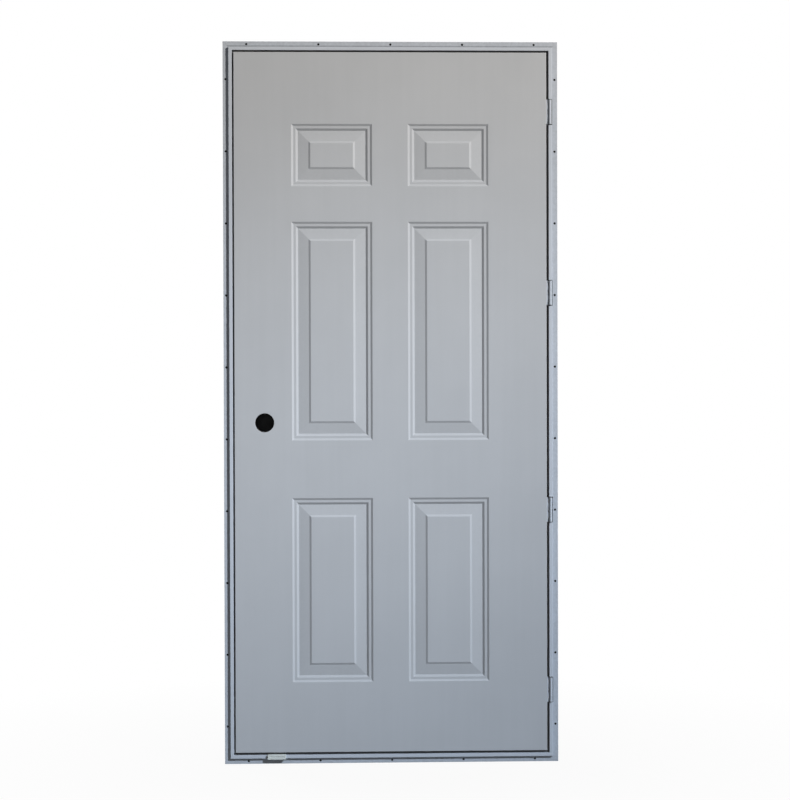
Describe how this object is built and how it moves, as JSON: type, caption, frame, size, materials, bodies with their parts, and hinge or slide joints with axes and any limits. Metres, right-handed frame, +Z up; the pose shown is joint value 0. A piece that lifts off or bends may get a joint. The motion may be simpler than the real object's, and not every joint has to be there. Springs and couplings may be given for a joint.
{
  "type": "panelled entrance door with frame",
  "caption": "Outswing panelled entrance door, pressed steel skins on a timber edge, hinged in a mitred metal frame with a punched screw fin.",
  "frame": {"origin": "middle of the frame's bottom edge, on the wall plane behind the fin", "axes": "+X to the hinge side seen from outside, +Y into the room, +Z up"},
  "size_m": [0.95, 0.0764, 2.05],
  "materials": {
    "frame_paint": "satin",
    "hinge_paint": "satin",
    "leaf_paint": "satin",
    "zinc_steel": "zinc plated",
    "key_metal": "as cast",
    "seal_rubber": "matte",
    "timber": "planed",
    "foam": "foamed",
    "clip_plastic": "moulded",
    "cover_plastic": "matte"
  },
  "bodies": {
    "frame": {"frame_head": "frame_paint", "frame_sill": "frame_paint", "latch_jamb": "frame_paint", "hinge_jamb": "frame_paint", "hinge_1_frame_leaf": "hinge_paint", "hinge_2_frame_leaf": "hinge_paint", "hinge_3_frame_leaf": "hinge_paint", "hinge_4_frame_leaf": "hinge_paint", "hinge_1_pin": "zinc_steel", "hinge_2_pin": "zinc_steel", "hinge_3_pin": "zinc_steel", "hinge_4_pin": "zinc_steel", "corner_screws": "zinc_steel", "hinge_frame_screws": "zinc_steel", "head_latch_key": "key_metal", "head_hinge_key": "key_metal", "sill_latch_key": "key_metal", "sill_hinge_key": "key_metal", "seal_head": "seal_rubber", "seal_sill": "seal_rubber", "seal_latch": "seal_rubber", "seal_hinge": "seal_rubber", "sill_clip": "clip_plastic"},
    "leaf": {"outer_skin": "leaf_paint", "inner_skin": "leaf_paint", "foam_core": "foam", "lock_block": "timber", "latch_stile": "timber", "hinge_stile": "timber", "top_rail": "timber", "bottom_rail": "timber", "bore_cover": "cover_plastic", "hinge_1_leaf": "hinge_paint", "hinge_2_leaf": "hinge_paint", "hinge_3_leaf": "hinge_paint", "hinge_4_leaf": "hinge_paint", "hinge_leaf_screws": "zinc_steel"}
  },
  "joints": [
    {"name": "door_swing", "type": "hinge", "parent": "frame", "child": "leaf", "pos_m": [0.4535, -0.0125, 1.025], "axis": [0, 0, 1], "range_deg": [0, 170]}
  ]
}
